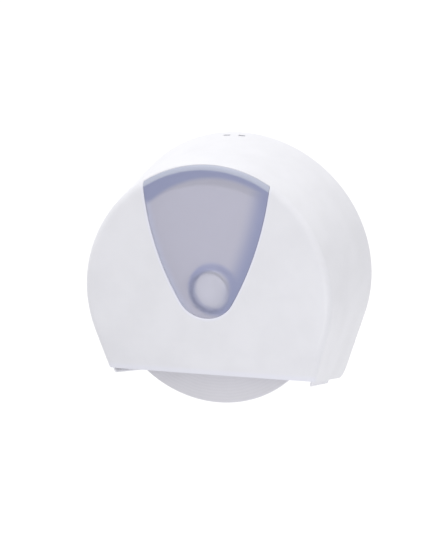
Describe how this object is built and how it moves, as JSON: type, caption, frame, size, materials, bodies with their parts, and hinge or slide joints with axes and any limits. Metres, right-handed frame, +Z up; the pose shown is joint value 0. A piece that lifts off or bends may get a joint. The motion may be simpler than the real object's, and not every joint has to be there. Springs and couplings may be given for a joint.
{
  "type": "toilet roll dispenser",
  "caption": "Wall-mounted jumbo toilet roll dispenser: a round white cover with a frosted window swings down on hinge pins over a paper roll on a spindle.",
  "frame": {"origin": "on the wall face of the back plate, where the spindle axis meets it", "axes": "+Y into the wall along the spindle, +X to the right as seen from the front, +Z up"},
  "size_m": [0.276, 0.1216, 0.2594],
  "materials": {
    "white_abs": "moulded ABS, fine satin gloss",
    "window_plastic": "translucent blue-grey styrene, frosted inside",
    "inner_plastic": "moulded, unpolished",
    "comb_plastic": "moulded, unpolished",
    "latch_plastic": "moulded acetal",
    "screw_steel": "zinc plated",
    "spring_steel": "bright drawn wire",
    "fibre": "pressed fibre",
    "core_board": "spiral wound board",
    "tissue": "soft two-ply tissue"
  },
  "bodies": {
    "back_unit": {"back_plate": "inner_plastic", "spindle_post": "inner_plastic", "spindle_screws": "screw_steel", "brake_washer": "fibre", "retaining_washer": "screw_steel", "axle_screw": "screw_steel", "hinge_pin_left": "screw_steel", "hinge_pin_right": "screw_steel", "lock_housing": "inner_plastic", "lock_screws": "screw_steel", "latch_spring": "spring_steel"},
    "cover_unit": {"cover": "white_abs", "window": "window_plastic", "window_screws": "screw_steel", "tear_comb_left": "comb_plastic", "tear_comb_right": "comb_plastic", "comb_screws": "screw_steel"},
    "roll_unit": {"roll_core": "core_board", "paper_roll": "tissue"},
    "hub_unit": {"roll_hub": "inner_plastic", "hub_cap": "white_abs"},
    "latch_unit": {"latch_slider": "latch_plastic"}
  },
  "joints": [
    {"name": "cover_hinge", "type": "hinge", "parent": "back_unit", "child": "cover_unit", "pos_m": [0, -0.009, -0.106], "axis": [1, 0, 0], "range_deg": [0, 95]},
    {"name": "roll_spin", "type": "hinge", "parent": "back_unit", "child": "roll_unit", "pos_m": [0, -0.05, -0.0054], "axis": [0, 1, 0], "continuous": true},
    {"name": "hub_spin", "type": "hinge", "parent": "back_unit", "child": "hub_unit", "pos_m": [0, -0.05, 0], "axis": [0, 1, 0], "continuous": true},
    {"name": "latch_slide", "type": "slide", "parent": "back_unit", "child": "latch_unit", "axis": [0, 0, -1], "range_m": [0, 0.0045], "stiffness_N_per_m": 400, "springref_m": -0.004, "deforming": ["latch_spring"]}
  ],
  "couplings": [
    {"joint": "hub_spin", "follows": "roll_spin", "ratio": 1.2245}
  ]
}
